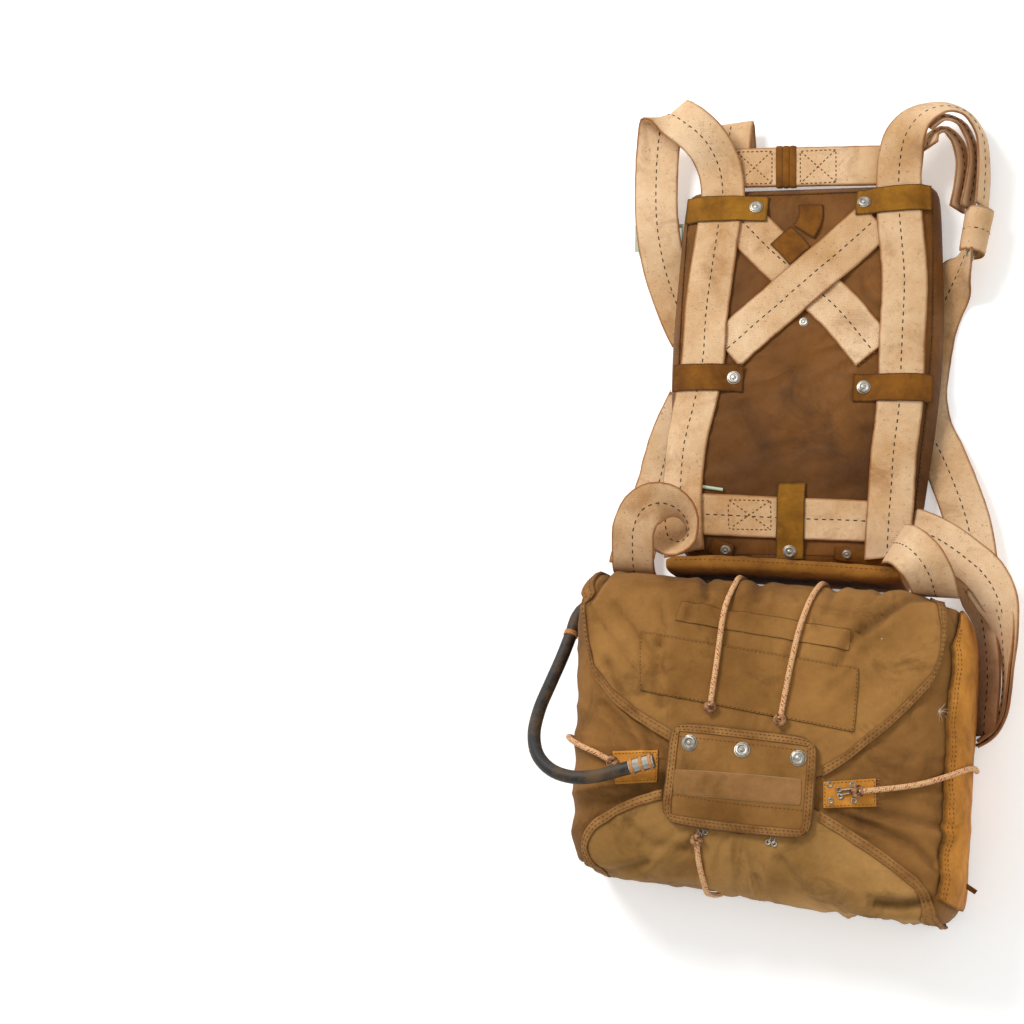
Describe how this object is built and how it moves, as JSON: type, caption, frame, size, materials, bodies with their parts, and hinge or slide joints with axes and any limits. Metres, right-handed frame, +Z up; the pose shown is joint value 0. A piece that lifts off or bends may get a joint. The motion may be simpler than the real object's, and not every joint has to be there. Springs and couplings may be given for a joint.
{
  "type": "packed seat parachute with harness",
  "caption": "Packed seat parachute lying flat: stuffed cloth pack with flaps, elastics and pin flap, back pad, cotton webbing harness, folded shoulder and leg straps, and a short hose.",
  "frame": {"origin": "on the surface it lies on, under the middle of its overall box (without the hose)", "axes": "+X to the right of the pack seen from above, +Y from the seat pack towards the shoulder straps, +Z up"},
  "size_m": [0.4544, 0.8022, 0.1459],
  "materials": {
    "duck": "worn brown cotton duck",
    "pad_duck": "dark brown padded cotton duck",
    "webbing": "cream cotton harness webbing, stained",
    "keeper": "olive cotton tape",
    "mustard": "mustard cotton webbing",
    "tape": "brown binding tape",
    "elastic": "braided cotton over rubber",
    "hose": "dusty black",
    "nickel": "worn nickel plate",
    "green_metal": "pale green, worn"
  },
  "bodies": {
    "root": {"pack_body": "duck", "flap_left": "duck", "flap_right": "duck", "flap_top": "duck", "flap_bottom": "duck", "binding_top_left": "tape", "binding_top_right": "tape", "binding_bottom_left": "tape", "binding_bottom_right": "tape", "side_band": "mustard", "label_patch": "duck", "pin_flap": "duck", "pin_flap_binding": "tape", "pin_snap_1": "nickel", "pin_snap_2": "nickel", "pin_snap_3": "nickel", "tab_right": "mustard", "tab_left": "mustard", "elastic_top_left": "elastic", "elastic_top_right": "elastic", "elastic_right": "elastic", "elastic_left": "elastic", "elastic_bottom": "elastic", "hose": "hose", "ferrule": "nickel", "seat_cushion": "pad_duck", "back_pad": "pad_duck", "strap_waist": "webbing", "diagonal_under": "webbing", "diagonal_over": "webbing", "strap_left": "webbing", "strap_right": "webbing", "strap_right_middle": "webbing", "strap_right_inner": "webbing", "strap_right_roll": "webbing", "strap_right_lift": "webbing", "strap_left_low": "webbing", "leg_roll": "webbing", "pack_loop": "webbing", "yoke_fold": "webbing", "yoke": "webbing", "yoke_band": "tape", "keeper_top_left": "keeper", "keeper_top_right": "keeper", "keeper_middle_left": "keeper", "keeper_middle_right": "keeper", "keeper_waist": "keeper", "tab_low_left": "keeper", "cross_keeper": "mustard", "cross_keeper_end": "mustard", "snap_top_left": "nickel", "snap_top_right": "nickel", "snap_middle_left": "nickel", "snap_middle_right": "nickel", "snap_waist": "nickel", "snap_low_left": "nickel", "snap_stud": "nickel", "adjuster_left": "green_metal", "adjuster_right": "green_metal"}
  },
  "joints": []
}
